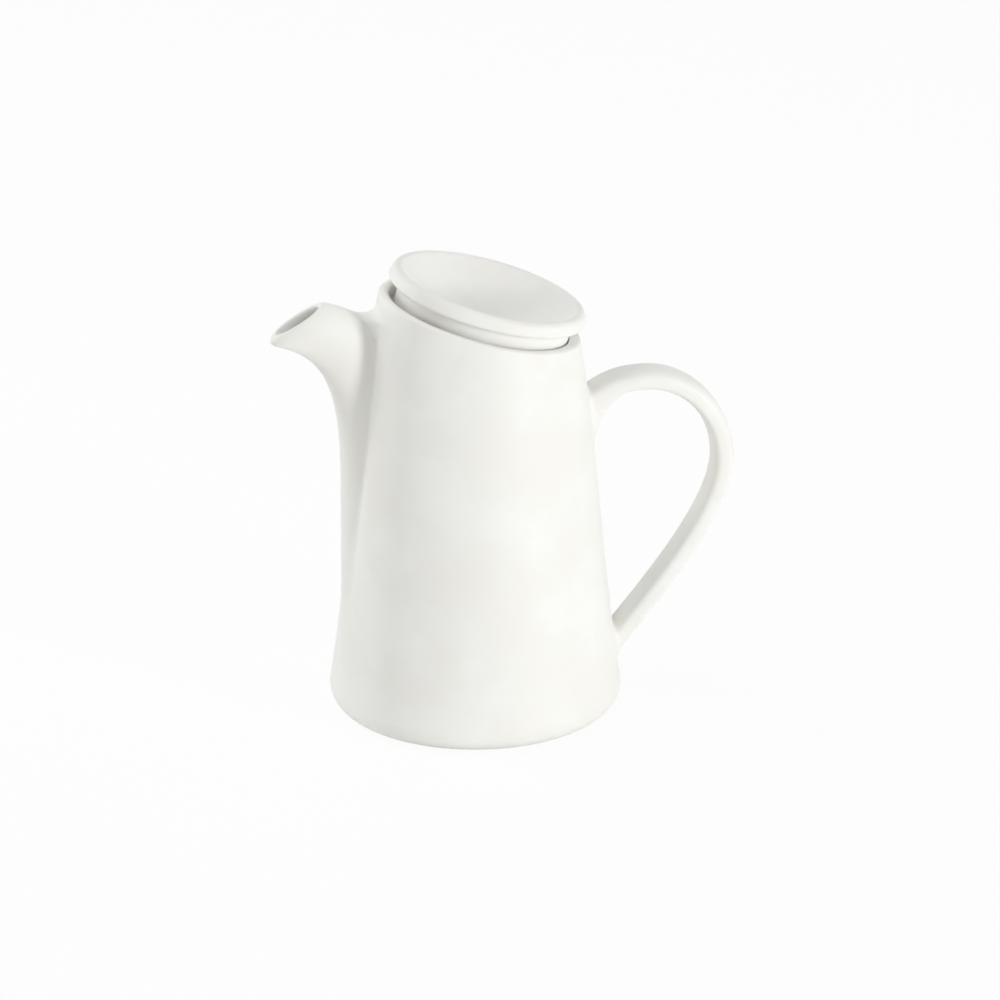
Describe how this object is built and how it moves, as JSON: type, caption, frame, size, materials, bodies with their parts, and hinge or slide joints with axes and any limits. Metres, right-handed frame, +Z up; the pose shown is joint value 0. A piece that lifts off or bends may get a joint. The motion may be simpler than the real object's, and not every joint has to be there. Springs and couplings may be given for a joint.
{
  "type": "lidded coffee jug",
  "caption": "Tapered glazed ceramic coffee jug with a slanted mouth, a beak spout that grows out of the wall, an ear-shaped strap handle and a loose dished lid.",
  "frame": {"origin": "centre of the foot ring, on the surface that the jug stands on", "axes": "+X towards the handle with the spout at -X, +Z up along the jug's axis, and the XZ plane halves the jug"},
  "size_m": [0.1833, 0.1146, 0.1827],
  "materials": {
    "glaze": "satin warm white glaze"
  },
  "bodies": {
    "jug": {"jug_body": "glaze", "spout": "glaze", "handle": "glaze"},
    "lid": {"lid_dish": "glaze", "lid_collar": "glaze"}
  },
  "joints": [
    {"name": "lid_lift", "type": "slide", "parent": "jug", "child": "lid", "axis": [0.2656, 0, 0.9641], "range_m": [0, 0.09]}
  ]
}
